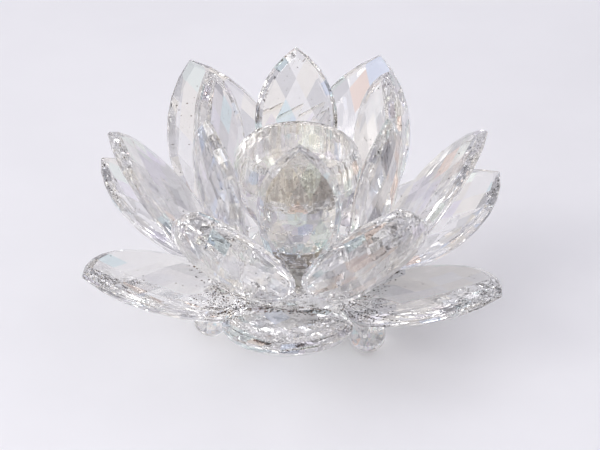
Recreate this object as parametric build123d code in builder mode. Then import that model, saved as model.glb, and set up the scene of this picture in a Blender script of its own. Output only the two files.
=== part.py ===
from build123d import *

import os
from dataclasses import dataclass
from math import atan2, cos, radians, sin, sqrt

# Cut-glass lotus candle holder. Three tiers of six leaf-shaped petals are bonded by their ground
# ends to flat seats on a hub in two blocks: the lower tier on the lower block, the other two on the
# upper one. A short pedestal carries a ball-shaped cup for a tea light, and three glass balls under
# alternate lower petals are the feet. Sizes are in millimetres, Z is up and the table is at Z = 0.
# Angles round the Z axis start at the front (-Y) and grow towards +X.


@dataclass
class Tier:
    """One ring of petals. Lengths run from the ground end to the tip along the inner face."""

    name: str
    tip_radius: float
    tip_height: float
    rise: float  # degrees above level
    seat: float  # distance from the origin to the hub seat, along the petal
    half_width: float
    end_half_width: float
    widest: float  # where the petal is widest, as a share of its length
    thickness: float
    crown: float  # where the back is thickest, as a share of the length
    sag_across: float  # fall of the domed back from the middle to the sides
    sag_tip: float  # and to the tip
    sag_end: float  # and to the ground end
    cells_half: int  # half-diamonds from the middle of the back to its side
    petals: list  # (angle round the Z axis, droop, roll) of each petal as it was bonded, in degrees

    @property
    def length(self):
        rise = radians(self.rise)
        return self.tip_radius * cos(rise) + self.tip_height * sin(rise) - self.seat


LOWER = Tier("lower", 91.9, 44.0, 19.0, 29.5, 25.0, 8.0, 0.43, 11.3, 0.38, 8.2, 9.0, 1.5, 5,
             [(-62.8, -1.4, 3.8), (-4, 0.6, 0), (56.2, 0.9, -0.9),
              (120, 2.5, -0.6), (178.6, 0, 0), (-121, -2.8, -8)])
MIDDLE = Tier("middle", 72.9, 83.8, 52.0, 39.6, 24.1, 6.2, 0.40, 8.4, 0.40, 6.6, 5.8, 3.4, 5,
              [(-88.2, -1.9, 2.5), (-30.4, -1.3, -3.4), (31.7, -1.8, 6.3),
               (89.4, -1.9, -0.6), (154.8, 3.3, 3.6), (-144.4, -0.5, 3.2)])
INNER = Tier("inner", 37.9, 100.0, 79.6, 34.0, 16.2, 3.4, 0.57, 8.6, 0.44, 3.8, 5.0, 3.4, 4,
             [(-60, 0, 0), (1.3, 0.2, 1.6), (60, 0, 0),
              (117.5, -0.3, 1.1), (181, -0.7, 0.2), (-118.8, -0.3, 0)])
TIERS = [LOWER, MIDDLE, INNER]

# How a petal is cut
bevel_depth = 1.3  # depth of the border bevel at the rim
bevel_slope = 25  # degrees between the border bevel and the flat inner face
girdle = 0.9  # thickness of the upright rim between front and back facets
girdle_slope = 54  # degrees between the rim facets of the back and the inner face
rim_steps = 6  # rim facets on each side below the widest place, and above it

# Candle cup
cup_radius = 25.0
cup_centre = 65.4
cup_base = 43.6
cup_rim = 76.6
rim_half_width = 21.4
well_radius = 19.8
well_depth = 12.5  # of the straight wall
well_floor_radius = 12.0
well_taper = 5.0  # depth of the tapered part below the wall
well_chamfer = 0.4
facets_round = 32
facet_rows = [18, 4, -10, -24, -38, -52]  # degrees above the ball's middle

# Hub and pedestal
hub_base = 9.0
hub_split = 23.6  # top of the lower block
hub_top = 32.6
hub_blank = 84.0
hub_base_reach = 25.0  # from the middle to the bevelled edges of the underside
hub_clearance = 0.4  # between the upper block and the lower petals under it
hub_film = 15.0
pedestal_foot = 9.8
pedestal_waist = 9.0
pedestal_head = 12.4
pedestal_sides = 12

# Feet: glass balls, each a little off its petal's middle line
foot_radius = 7.2
foot_centre = 7.0
feet = [(-70, 35.8), (48, 36.4), (170, 35.8)]  # (angle round the Z axis, distance from it)

# Adhesive films
bond = 0.15
film_height = 0.32  # middle of a film above the inner face, as a share of the petal's thickness
film_rise = 0.20  # half of its height, the same way
film_reach = 0.60  # half of its width, as a share of the ground end's half-width
pedestal_films = [8.4, 11.6]  # radii of the films below and above the pedestal


def outward(angle):
    """Level direction away from the Z axis."""
    return Vector(sin(radians(angle)), -cos(radians(angle)), 0)


def petal_plane(tier, angle, droop, roll):
    """Plane of a petal's inner face: Y from the ground end to the tip, Z out of its back."""
    out, up = outward(angle), Vector(0, 0, 1)
    rise, drooped = radians(tier.rise), radians(tier.rise - droop)
    tip = out * tier.tip_radius + up * tier.tip_height
    ground_end = tip - (out * cos(rise) + up * sin(rise)) * tier.length
    along = out * cos(drooped) + up * sin(drooped)
    level = up.cross(out)
    across = level * cos(radians(roll)) + level.cross(along) * sin(radians(roll))
    return Plane(origin=ground_end, x_dir=across, z_dir=across.cross(along))


def grind(piece, point, facing):
    """Grind one flat facet through a point: what lies beyond it, on the facing side, goes."""
    facet = Plane(origin=point, z_dir=facing)
    beyond = max((Vector(*corner) - facet.origin).dot(facet.z_dir) for corner in piece.vertices())
    if beyond > 0.01:
        split(bisect_by=facet, keep=Keep.BOTTOM)


def rim_facets(tier):
    """Points and directions of one side's rim facets, tangent to the two arcs of the outline."""
    widest = tier.widest * tier.length
    facets = []
    for span, inset, sign in (
        (widest, tier.half_width - tier.end_half_width, -1),
        (tier.length - widest, tier.half_width, 1),
    ):
        radius = (inset**2 + span**2) / (2 * inset)
        sweep_angle = atan2(span, radius - inset)
        for step in range(rim_steps):
            turn = sign * sweep_angle * (step + 0.5) / rim_steps
            point = (tier.half_width - radius + radius * cos(turn), widest + radius * sin(turn))
            facets.append((point, (cos(turn), sin(turn))))
    return facets


def back_diamonds(tier):
    """Points and directions of the diamond facets, tangent to the domed back."""
    top, half_width = tier.crown * tier.length, tier.half_width
    pitch = half_width / tier.cells_half
    facets = []
    for side, span, sag in ((1, tier.length - top, tier.sag_tip), (-1, top, tier.sag_end)):
        row_pitch = pitch * span / half_width * sqrt(tier.sag_across / sag)
        for row in range(0 if side > 0 else 1, int(span / row_pitch) + 1):
            for column in range(-tier.cells_half, tier.cells_half + 1):
                x, y = column * pitch, side * row * row_pitch
                if (row + column) % 2 == 0 and (x / half_width) ** 2 + (y / span) ** 2 < 1:
                    fall = tier.sag_across * (x / half_width) ** 2 + sag * (y / span) ** 2
                    slope_x = 2 * tier.sag_across * x / half_width**2
                    slope_y = 2 * sag * y / span**2
                    facets.append(((x, top + y, tier.thickness - fall), (slope_x, slope_y, 1)))
    return facets


def cut_petal(tier):
    """A petal on its own: inner face on Plane.XY, ground end on the X axis, tip up the Y axis."""
    lean, steep = radians(bevel_slope), radians(girdle_slope)
    with BuildPart() as petal:
        Box(2 * tier.half_width, tier.length, tier.thickness, align=(Align.CENTER, Align.MIN, Align.MIN))
        for (x, y), (out_x, out_y) in rim_facets(tier):
            for side in (-1, 1):
                grind(petal, (side * x, y, 0), (side * out_x, out_y, 0))
        for (x, y), (out_x, out_y) in rim_facets(tier):
            for side in (-1, 1):
                border = (side * out_x * sin(lean), out_y * sin(lean), -cos(lean))
                back = (side * out_x * sin(steep), out_y * sin(steep), cos(steep))
                grind(petal, (side * x, y, bevel_depth), border)
                grind(petal, (side * x, y, bevel_depth + girdle), back)
        for point, facing in back_diamonds(tier):
            grind(petal, point, facing)
    return petal.part


def finish(piece, name):
    """Label a finished piece and write it out."""
    piece.part.label = name
    export_step(piece.part, f"parts/{name}.step")


os.makedirs("parts", exist_ok=True)

# Petals, numbered round from the front left
petal_planes = {}
placed = {}
for tier in TIERS:
    loose_petal = cut_petal(tier)
    petal_planes[tier.name] = [petal_plane(tier, *placing) for placing in tier.petals]
    for number, plane in enumerate(petal_planes[tier.name], start=1):
        with BuildPart(plane) as petal:
            add(loose_petal)
        placed[f"{tier.name}_petal_{number}"] = petal.part
        finish(petal, f"{tier.name}_petal_{number}")

# Hub, lower block: one seat for each lower petal, square to it and one adhesive film away
with BuildPart(Plane.XY.offset(hub_base)) as hub_lower:
    Box(hub_blank, hub_blank, hub_split - hub_base, align=(Align.CENTER, Align.CENTER, Align.MIN))
    for plane in petal_planes["lower"]:
        grind(hub_lower, plane.origin - plane.y_dir * bond, plane.y_dir)
    for angle, *_ in LOWER.petals:
        edge = outward(angle) * hub_base_reach + Vector(0, 0, hub_base)
        grind(hub_lower, edge, outward(angle) - Vector(0, 0, 1))
finish(hub_lower, "hub_lower")

# Hub, upper block: seats for the other petals, and an underside that clears the lower petals
with BuildPart(Plane.XY.offset(hub_split + bond)) as hub_upper:
    Box(hub_blank, hub_blank, hub_top - hub_split - bond, align=(Align.CENTER, Align.CENTER, Align.MIN))
    for plane in petal_planes["middle"] + petal_planes["inner"]:
        grind(hub_upper, plane.origin - plane.y_dir * bond, plane.y_dir)
    for plane in petal_planes["lower"]:
        grind(hub_upper, plane.origin - plane.z_dir * hub_clearance, plane.z_dir)
finish(hub_upper, "hub_upper")

with BuildPart() as hub_bond:
    with BuildSketch(Plane.XY.offset(hub_split)):
        Circle(hub_film)
    extrude(amount=bond)
finish(hub_bond, "hub_bond")

# Adhesive films between the petals' ground ends and the hub's seats
for tier in TIERS:
    with BuildPart() as films:
        for plane in petal_planes[tier.name]:
            middle = plane.origin + plane.z_dir * (film_height * tier.thickness)
            with BuildSketch(Plane(origin=middle, x_dir=plane.x_dir, z_dir=plane.y_dir * -1)):
                Ellipse(film_reach * tier.end_half_width, film_rise * tier.thickness)
            extrude(amount=bond)
    finish(films, f"{tier.name}_bonds")

# Pedestal between the hub and the cup, waisted and twelve-sided
pedestal_base, pedestal_top = hub_top + bond, cup_base - bond
with BuildPart() as pedestal:
    for height, radius in (
        (pedestal_base, pedestal_foot),
        ((pedestal_base + pedestal_top) / 2, pedestal_waist),
        (pedestal_top, pedestal_head),
    ):
        with BuildSketch(Plane.XY.offset(height)):
            RegularPolygon(radius, pedestal_sides)
    loft(ruled=True)
finish(pedestal, "cup_pedestal")

with BuildPart() as pedestal_bonds:
    for height, radius in zip((hub_top, pedestal_top), pedestal_films):
        with BuildSketch(Plane.XY.offset(height)):
            Circle(radius)
        extrude(amount=bond)
finish(pedestal_bonds, "pedestal_bonds")

# Candle cup: a faceted ball with its top cut off, and a round well for the tea light
with BuildPart(Plane.XY.offset(cup_base)) as candle_cup:
    Box(2 * cup_radius, 2 * cup_radius, cup_rim - cup_base, align=(Align.CENTER, Align.CENTER, Align.MIN))
    for row, latitude in enumerate(facet_rows):
        for number in range(facets_round):
            angle = 360 / facets_round * (number + row % 2 / 2)
            facing = outward(angle) * cos(radians(latitude)) + Vector(0, 0, sin(radians(latitude)))
            grind(candle_cup, facing * cup_radius + Vector(0, 0, cup_centre), facing)
    for number in range(facets_round):
        out = outward(360 / facets_round * (number + 0.5))
        grind(candle_cup, out * rim_half_width + Vector(0, 0, cup_rim), out + Vector(0, 0, 1))
    with Locations((0, 0, cup_rim - well_depth - cup_base)):
        Cylinder(well_radius, well_depth, align=(Align.CENTER, Align.CENTER, Align.MIN), mode=Mode.SUBTRACT)
        Cone(well_floor_radius, well_radius, well_taper, align=(Align.CENTER, Align.CENTER, Align.MAX),
             mode=Mode.SUBTRACT)
    chamfer(candle_cup.faces().sort_by(Axis.Z)[-1].inner_wires().edges(), well_chamfer)
finish(candle_cup, "candle_cup")

# Feet: glass balls with a ground flat below, seated against the petals above them
for number, (angle, distance) in enumerate(feet, start=1):
    above = placed[f"lower_petal_{2 * number - 1}"]
    bonded = above.moved(Location((0, 0, -bond)))
    centre = outward(angle) * distance + Vector(0, 0, foot_centre)
    with BuildPart() as foot:
        with Locations(centre):
            Sphere(foot_radius)
        split(bisect_by=Plane.XY, keep=Keep.TOP)
        add(bonded, mode=Mode.SUBTRACT)
    finish(foot, f"foot_{number}")
    with BuildPart() as foot_bond:
        with Locations(centre):
            Sphere(foot_radius)
        add(bonded, mode=Mode.INTERSECT)
        add(above, mode=Mode.SUBTRACT)
    finish(foot_bond, f"foot_bond_{number}")
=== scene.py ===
import math
import random

import bmesh
import bpy
from mathutils import Matrix, Vector
from mathutils.bvhtree import BVHTree


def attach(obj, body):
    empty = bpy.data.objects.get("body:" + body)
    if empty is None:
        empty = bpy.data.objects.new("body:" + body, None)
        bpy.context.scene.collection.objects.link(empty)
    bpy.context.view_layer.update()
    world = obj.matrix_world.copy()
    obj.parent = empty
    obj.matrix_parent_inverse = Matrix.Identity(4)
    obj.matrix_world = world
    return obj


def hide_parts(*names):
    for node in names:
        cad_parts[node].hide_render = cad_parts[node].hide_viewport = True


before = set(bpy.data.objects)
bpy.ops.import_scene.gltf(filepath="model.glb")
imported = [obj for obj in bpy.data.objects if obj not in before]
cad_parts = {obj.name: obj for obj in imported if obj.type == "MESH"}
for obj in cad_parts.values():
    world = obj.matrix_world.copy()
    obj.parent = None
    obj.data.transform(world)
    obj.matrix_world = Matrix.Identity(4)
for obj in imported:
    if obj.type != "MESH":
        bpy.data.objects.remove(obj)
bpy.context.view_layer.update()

# A lotus candle holder of clear cut glass. Every glass piece is polished from its CAD node's facets,
# the adhesive films keep their CAD shape, and grit lies where it has gathered in the middle.

MM = 0.001

# Tiers of petals, from the table up
TIERS = ("lower", "middle", "inner")
PETALS = range(1, 7)
FEET = range(1, 4)

# How the glass is cut
MERGED = 0.001 * MM  # corners closer than this are one
FLAT_LIMIT = math.radians(0.5)  # triangles that meet at less than this are one facet
FACET_LIMIT = math.radians(0.8)  # faces that meet at more than this are facets of a cut surface
ROUND_LIMIT = math.radians(25)  # and on a turned or ball-shaped one
ARRIS = 0.16 * MM  # flat taken off each facet edge in polishing
WELL_FLOOR_TOP = 70 * MM  # level faces under this height are the floor of the candle well

# Tones of the glass: its own, and the painted light that single facets carry, with how many in a hundred do.
# The colours are painted fire, the ivory a painted warm reflection, and the greys painted shade and dark
# reflections.
BODY = (0.985, 0.98, 0.965)
PAINTED_FACET_LIGHT = {
    (1.00, 0.74, 0.60): 2,  # orange
    (0.97, 0.93, 0.84): 12,  # ivory
    (0.70, 0.90, 0.94): 2,  # teal
    (0.66, 0.76, 0.96): 2,  # blue
    (0.84, 0.80, 0.92): 3,  # lilac
    (0.86, 0.97, 0.88): 2,  # lime
    (0.80, 0.79, 0.80): 20,  # light grey
    (0.62, 0.62, 0.63): 12,  # grey
    (0.36, 0.36, 0.39): 3,  # dark grey
}
LARGEST_FACET = 200 * MM**2  # larger faces, such as the petals' inner ones, keep the glass's own tone

# Clear glass lets light through to the table. Only these pieces, away from the key light, keep it off.
SHADING = ("hub_lower", "lower_petal_3", "middle_petal_3", "middle_petal_4", "inner_petal_3", "inner_petal_4")


# ---------------------------------------------------------------- shader maths


class Value:
    """A number or colour on a socket. Maths on it adds nodes to its tree."""

    def __init__(self, tree, socket):
        self.tree, self.socket = tree, socket

    def __add__(self, other):
        return self.tree.node("ShaderNodeMath", {"operation": "ADD"}, self, other)

    __radd__ = __add__

    def __mul__(self, other):
        return self.tree.node("ShaderNodeMath", {"operation": "MULTIPLY"}, self, other)

    __rmul__ = __mul__

    def between(self, low, high):
        """0 at low and under, 1 at high and over, smooth between."""
        return self.tree.node("ShaderNodeMapRange", {"interpolation_type": "SMOOTHSTEP"}, self, low, high)


class Finish:
    """A material in the making: node() adds any node, and gives back one of its outputs as a Value."""

    def __init__(self, name):
        self.material = bpy.data.materials.new(name)
        self.material.use_nodes = True
        self.nodes = self.material.node_tree.nodes
        self.nodes.clear()

    def node(self, kind, settings=None, *inputs, out=0, at=None, **named):
        """Sockets are given in order, by number in at, or by name with _ for a space."""
        made = self.nodes.new(kind)
        for setting, choice in (settings or {}).items():
            setattr(made, setting, choice)
        for key, given in [*enumerate(inputs), *(at or {}).items(), *named.items()]:
            socket = made.inputs[key if isinstance(key, int) else key.replace("_", " ")]
            if isinstance(given, Value):
                self.material.node_tree.links.new(given.socket, socket)
            else:
                socket.default_value = given
        return Value(self, made.outputs[out]) if made.outputs else None

    def place(self, squeeze=(1, 1, 1)):
        """Object coordinates in metres. A pattern is drawn out along an axis squeezed to under 1."""
        object_coordinates = self.node("ShaderNodeTexCoord", out=3)
        return self.node("ShaderNodeMapping", None, object_coordinates, Scale=squeeze)

    def noise(self, place, size, detail):
        """Noise from 0 to 1 with lumps of about this size."""
        return self.node("ShaderNodeTexNoise", None, place, Scale=1 / size, Detail=detail)

    def mixed(self, factor, first, second):
        """A colour from first to second, as the factor goes from 0 to 1."""
        ends = {6: (*first, 1), 7: (*second, 1)}  # the Mix node's colour sockets
        return self.node("ShaderNodeMix", {"data_type": "RGBA"}, factor, at=ends, out=2)

    def shader(self, **named):
        return self.node("ShaderNodeBsdfPrincipled", None, **named)

    def glass(self, **named):
        return self.shader(Transmission_Weight=1.0, **named)

    def over(self, cover, under, top):
        """The top shader where cover is 1, and the one under it where cover is 0."""
        return self.node("ShaderNodeMixShader", None, cover, under, top)

    def surface(self, shader):
        self.node("ShaderNodeOutputMaterial", None, shader)
        return self.material


# ------------------------------------------------------------------- finishes


def crystal(name, ior, dust):
    """Clear cut glass in its facets' tones, with painted fire, reflections and shade among them, fine dust on
    a share of it and a thin film of grease.
    """
    finish = Finish(name)
    place = finish.place()
    # Each facet's tone: the glass's own on most, and painted fire, painted reflections and painted shade on
    # the rest
    tone = finish.node("ShaderNodeAttribute", {"attribute_name": "facet_tint_and_painted_light"})
    grease = finish.noise(place, 9 * MM, detail=3).between(0.45, 0.75)
    glass = finish.glass(Base_Color=tone, Roughness=grease * 0.006, IOR=ior)
    drifts = finish.noise(place, 11 * MM, detail=1)
    flecks = finish.noise(place, 0.55 * MM, detail=1) + drifts * 0.35
    shade = finish.noise(place, 0.9 * MM, detail=0).between(0.35, 0.65)
    dirt = finish.shader(Base_Color=finish.mixed(shade, (0.16, 0.13, 0.11), (0.62, 0.58, 0.54)), Roughness=0.9)
    return finish.surface(finish.over(flecks.between(1 - dust, 1.04 - dust) * 0.8, glass, dirt))


def well_glass():
    """The turned, hazy wall of the candle well, with streaks of old wax and dust down it."""
    finish = Finish("well_glass")
    streaks = finish.noise(finish.place((1, 1, 0.07)), 1.1 * MM, detail=3)
    grain = finish.noise(finish.place(), 0.5 * MM, detail=2)
    ripple = finish.node("ShaderNodeBump", None, Strength=0.5, Distance=0.25 * MM, Height=streaks)
    glass = finish.glass(Base_Color=(0.95, 0.93, 0.90, 1), Roughness=0.12, IOR=1.52, Normal=ripple)
    colour = finish.mixed(grain.between(0.30, 0.55), (0.20, 0.17, 0.14), (0.78, 0.73, 0.66))
    residue = finish.shader(Base_Color=colour, Roughness=0.8)
    cover = (streaks * 0.7 + grain * 0.3).between(0.50, 0.62) * 0.5
    return finish.surface(finish.over(cover, glass, residue))


def dirty_adhesive(name, cover, dark, light):
    """Cured clear adhesive, seen by the dirt caught in it: the more cover, the more of it is dirty."""
    finish = Finish(name)
    place = finish.place()
    grain = finish.noise(place, 0.7 * MM, detail=3)
    colour = finish.mixed(grain.between(0.38, 0.58), dark, light)
    patches = finish.noise(place, 3.5 * MM, detail=1) * 0.5 + finish.noise(place, 0.9 * MM, detail=3) * 0.5
    middle = 0.62 - 0.24 * cover
    dirt = patches.between(middle - 0.03, middle + 0.03)
    return finish.surface(finish.shader(Base_Color=colour, Roughness=0.6, Alpha=dirt))


def dry_grit():
    """Crumbs of dirt, black to rust brown."""
    finish = Finish("grit")
    shade = finish.noise(finish.place(), 1.5 * MM, detail=1)
    colour = finish.mixed(shade.between(0.45, 0.60), (0.004, 0.004, 0.004), (0.10, 0.045, 0.02))
    return finish.surface(finish.shader(Base_Color=colour, Roughness=0.6))


def pale_table():
    finish = Finish("pale_table")
    shade = finish.noise(finish.place(), 60 * MM, detail=3).between(0.3, 0.7)
    colour = finish.mixed(shade, (0.84, 0.835, 0.86), (0.86, 0.855, 0.88))
    return finish.surface(finish.shader(Base_Color=colour, Roughness=0.8))


# --------------------------------------------------------------- glass pieces


def piece_from(bm, name, *finishes):
    """A finished mesh as an object in the scene."""
    mesh = bpy.data.meshes.new(name)
    bm.to_mesh(mesh)
    bm.free()
    for finish in finishes:
        mesh.materials.append(finish)
    piece = bpy.data.objects.new(name, mesh)
    bpy.context.scene.collection.objects.link(piece)
    return piece


def tint_facets_and_paint_light(bm, seed):
    """Give each facet a tone, drawn by its share: painted fire, reflections and shade on some. Large faces
    keep the glass's own.
    """
    draw = random.Random(seed)
    layer = bm.loops.layers.float_color.new("facet_tint_and_painted_light")
    tones = [*PAINTED_FACET_LIGHT, BODY]
    odds = [*PAINTED_FACET_LIGHT.values(), 100 - sum(PAINTED_FACET_LIGHT.values())]
    for face in bm.faces:
        tone = draw.choices(tones, odds)[0] if face.calc_area() < LARGEST_FACET else BODY
        for loop in face.loops:
            loop[layer] = (*tone, 1)


def in_well(face):
    """Whether a face of the cup belongs to the candle well: its wall faces the middle."""
    middle = face.calc_center_median()
    on_wall = face.normal.xy.dot(middle.xy) < 0
    on_floor = face.normal.z > 0.9 and middle.z < WELL_FLOOR_TOP
    return on_wall or on_floor


def polished(node, finish, limit=FACET_LIMIT, well=None):
    """A glass piece cut like its CAD node, with its facet edges just taken off."""
    bm = bmesh.new()
    bm.from_mesh(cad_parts[node].data)
    bmesh.ops.remove_doubles(bm, verts=bm.verts, dist=MERGED)
    bmesh.ops.dissolve_limit(bm, angle_limit=FLAT_LIMIT, verts=bm.verts, edges=bm.edges)
    bm.normal_update()
    turned = {face for face in bm.faces if well and in_well(face)}
    for face in bm.faces:
        face.smooth = True
        face.material_index = 1 if face in turned else 0
    for edge in bm.edges:
        round_limit = ROUND_LIMIT if turned.issuperset(edge.link_faces) else limit
        edge.smooth = edge.calc_face_angle(0) <= round_limit
    tint_facets_and_paint_light(bm, node)
    cut_edges = [edge for edge in bm.edges if not edge.smooth]
    bevelled = bmesh.ops.bevel(bm, geom=cut_edges, offset=ARRIS, offset_type="OFFSET", segments=1, profile=0.5,
                               affect="EDGES", clamp_overlap=True, material=-1)
    for face in bevelled["faces"]:
        for edge in face.edges:
            edge.smooth = False
    piece = piece_from(bm, f"cut_{node}", *([finish, well] if well else [finish]))
    piece.visible_shadow = node in SHADING
    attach(piece, "root")
    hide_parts(node)


petal_glass = crystal("petal_glass", ior=1.53, dust=0.05)
centre_glass = crystal("centre_glass", ior=1.52, dust=0.07)
foot_glass = crystal("foot_glass", ior=1.52, dust=0.04)
for tier in TIERS:
    for number in PETALS:
        polished(f"{tier}_petal_{number}", petal_glass)
polished("candle_cup", centre_glass, well=well_glass())
for node in ("hub_lower", "hub_upper", "cup_pedestal"):
    polished(node, centre_glass)
for number in FEET:
    polished(f"foot_{number}", foot_glass, limit=ROUND_LIMIT)

# The adhesive films keep their CAD shape. The dirtiest are those above and below the pedestal.
seat_adhesive = dirty_adhesive("seat_adhesive", 0.06, (0.10, 0.07, 0.05), (0.62, 0.58, 0.52))
cup_adhesive = dirty_adhesive("cup_adhesive", 0.45, (0.26, 0.19, 0.15), (0.82, 0.75, 0.68))
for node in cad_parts.values():
    if "bond" in node.name:
        node.data.materials.clear()
        node.data.materials.append(cup_adhesive if node.name == "pedestal_bonds" else seat_adhesive)


# --------------------------------------------------------------- trapped grit


def fallen(nodes, count, radii, height, drifts, seed):
    """Places where dirt dropped from a height lands on the CAD nodes, in a ring round the Z axis.

    The radii are the least, the most and the usual one. More than half of the dirt gathers in drifts.
    """
    joined = bmesh.new()
    for node in nodes:
        joined.from_mesh(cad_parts[node].data)
    surface = BVHTree.FromBMesh(joined)
    joined.free()
    draw = random.Random(seed)
    middles = [draw.uniform(0, math.tau) for _ in range(drifts)]
    places = []
    while len(places) < count:
        in_drift = draw.random() < 0.6
        angle = draw.gauss(draw.choice(middles), 0.10) if in_drift else draw.uniform(0, math.tau)
        radius = draw.triangular(*radii)
        start = Vector((radius * math.sin(angle), -radius * math.cos(angle), height))
        place = surface.ray_cast(start, Vector((0, 0, -1)))[0]
        if place:
            places.append(place)
    return places


def crumbs(name, places, sizes, finish, seed):
    """Crumbs of grit, small and angular, one at each place."""
    draw = random.Random(seed)
    bm = bmesh.new()
    for place in places:
        size = draw.uniform(*sizes) * draw.uniform(0.6, 1.0)
        turn, tip = draw.uniform(0, math.tau), draw.uniform(0, 3)
        turned = Matrix.Rotation(turn, 4, "Z") @ Matrix.Rotation(tip, 4, "X")
        squashed = Matrix.Diagonal((size, size * draw.uniform(0.5, 0.9), size * draw.uniform(0.35, 0.7), 1))
        laid = Matrix.Translation(place) @ squashed @ turned
        bmesh.ops.create_icosphere(bm, subdivisions=1, radius=1, matrix=laid)
    bmesh.ops.recalc_face_normals(bm, faces=bm.faces)
    piece = piece_from(bm, name, finish)
    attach(piece, "root")


grit = dry_grit()
lower_petals = [f"lower_petal_{number}" for number in PETALS]
open_to_dust = ["candle_cup"] + [f"{tier}_petal_{number}" for tier in TIERS for number in PETALS]
in_junction = fallen(lower_petals, 2000, (27 * MM, 44 * MM, 33 * MM), 40 * MM, drifts=30, seed=1)
crumbs("junction_grit", in_junction, (0.22 * MM, 0.62 * MM), grit, seed=2)
scattered = fallen(open_to_dust, 520, (14 * MM, 80 * MM, 34 * MM), 120 * MM, drifts=24, seed=3)
crumbs("scattered_grit", scattered, (0.20 * MM, 0.48 * MM), grit, seed=4)

# ------------------------------------------------------------ table and light

TABLE_REACH = 3  # from the middle of the table to its sides

bm = bmesh.new()
bmesh.ops.create_grid(bm, x_segments=1, y_segments=1, size=TABLE_REACH)
table = piece_from(bm, "table", pale_table())


def turned_to(thing, place, aim):
    """Put a lamp or a camera at a place, looking at its aim."""
    thing.location = place
    thing.rotation_euler = (Vector(aim) - Vector(place)).to_track_quat("-Z", "Y").to_euler()
    bpy.context.scene.collection.objects.link(thing)


def softbox(name, place, aim, size, power, colour):
    """A round softbox, with its size in metres and its power in watts."""
    light = bpy.data.lights.new(name, "AREA")
    light.shape = "DISK"
    light.size = size
    light.energy = power
    light.color = colour
    turned_to(bpy.data.objects.new(name, light), place, aim)


softbox("key_softbox", (-1.1, -0.9, 1.0), (0, 0, 0.04), 0.9, 8, (1.0, 0.985, 0.96))
softbox("top_softbox", (0, 0.1, 1.4), (0, 0, 0), 1.35, 3, (1.0, 0.99, 1.0))
softbox("front_softbox", (-0.4, -1.3, 0.45), (0, 0, 0.02), 0.7, 7, (1.0, 1.0, 1.0))

world = bpy.data.worlds.new("studio")
bpy.context.scene.world = world
world.use_nodes = True
world.node_tree.nodes["Background"].inputs["Color"].default_value = (0.80, 0.79, 0.85, 1)
world.node_tree.nodes["Background"].inputs["Strength"].default_value = 0.80

# --------------------------------------------------------------------- camera

CAMERA_AIM = Vector((0.9, 0, 42)) * MM
CAMERA_DISTANCE = 1.4976
CAMERA_ELEVATION = math.radians(30)

lens = bpy.data.cameras.new("camera")
lens.lens = 230.4
lens.sensor_width = 36
camera = bpy.data.objects.new("camera", lens)
backwards = Vector((0, -math.cos(CAMERA_ELEVATION), math.sin(CAMERA_ELEVATION)))
turned_to(camera, CAMERA_AIM + CAMERA_DISTANCE * backwards, CAMERA_AIM)

scene = bpy.context.scene
scene.camera = camera
scene.view_settings.view_transform = "Standard"
scene.cycles.max_bounces = 32
scene.cycles.transmission_bounces = 32
scene.cycles.glossy_bounces = 32
scene.cycles.transparent_max_bounces = 64
